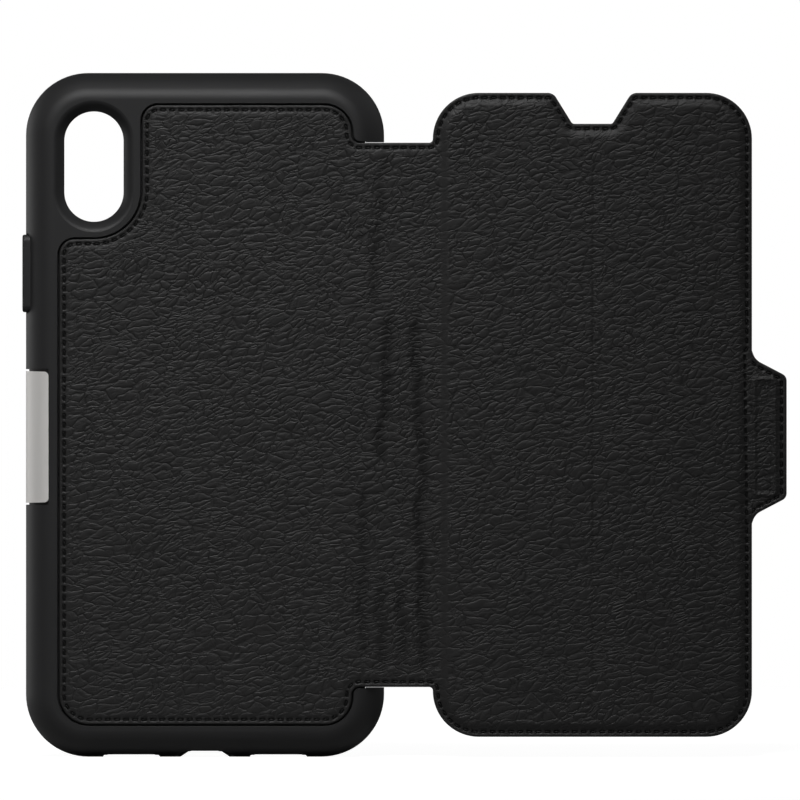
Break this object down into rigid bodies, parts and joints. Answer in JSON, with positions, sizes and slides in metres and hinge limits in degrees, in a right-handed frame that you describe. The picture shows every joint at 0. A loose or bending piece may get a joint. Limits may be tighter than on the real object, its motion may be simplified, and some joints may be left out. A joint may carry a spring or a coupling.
{
  "type": "phone wallet case",
  "caption": "Folio phone case: moulded tray with a leather back, soft leather spine and fold-over cover with card pockets, key cover, and a magnetic tab that holds to a steel plate.",
  "frame": {"origin": "centre of the tray floor, where the middle of the phone's back rests", "axes": "+Y from the tray floor towards the phone's screen, +X across the case from the tray to the cover, +Z along the phone towards its camera end"},
  "size_m": [0.1759, 0.0122, 0.1578],
  "materials": {
    "tray": "black polycarbonate, finely textured by its mould",
    "plate": "satin stainless steel",
    "leather": "black pebble-grained leather, matt",
    "pocket": "thin black leather, skived",
    "lining": "black microfibre with a short nap",
    "board": "grey-brown fibreboard",
    "magnet": "nickel-plated magnet"
  },
  "bodies": {
    "tray": {"tray_shell": "tray", "latch_plate": "plate", "back_panel_leather": "leather", "panel_backing": "lining"},
    "key": {"side_key_cover": "tray"},
    "spine": {"spine_leather": "leather", "spine_lining": "lining", "spine_fold_leather": "leather", "spine_fold_lining": "lining"},
    "cover": {"cover_leather": "leather", "cover_board": "board", "cover_lining": "lining", "card_pocket_under": "pocket", "card_pocket_over": "pocket", "cover_fold_leather": "leather", "cover_fold_lining": "lining"},
    "tab": {"tab_leather": "leather", "tab_lining": "lining", "tab_magnet": "magnet", "tab_fold_leather": "leather", "tab_fold_lining": "lining"}
  },
  "joints": [
    {"name": "key_press", "type": "slide", "parent": "tray", "child": "key", "axis": [1, 0, 0], "range_m": [0, 0.0004], "stiffness_N_per_m": 800},
    {"name": "spine_fold", "type": "hinge", "parent": "tray", "child": "spine", "pos_m": [0.03851, -0.0013, 0], "axis": [0, 0, 1], "range_deg": [-90, 90], "deforming": ["spine_fold_leather", "spine_fold_lining"]},
    {"name": "cover_fold", "type": "hinge", "parent": "spine", "child": "cover", "pos_m": [0.05075, -0.0013, 0], "axis": [0, 0, 1], "range_deg": [-90, 90], "deforming": ["cover_fold_leather", "cover_fold_lining"]},
    {"name": "tab_fold", "type": "hinge", "parent": "cover", "child": "tab", "pos_m": [0.1264, -0.00235, -0.0051], "axis": [0, 0, 1], "range_deg": [-75, 0], "deforming": ["tab_fold_leather", "tab_fold_lining"]}
  ]
}
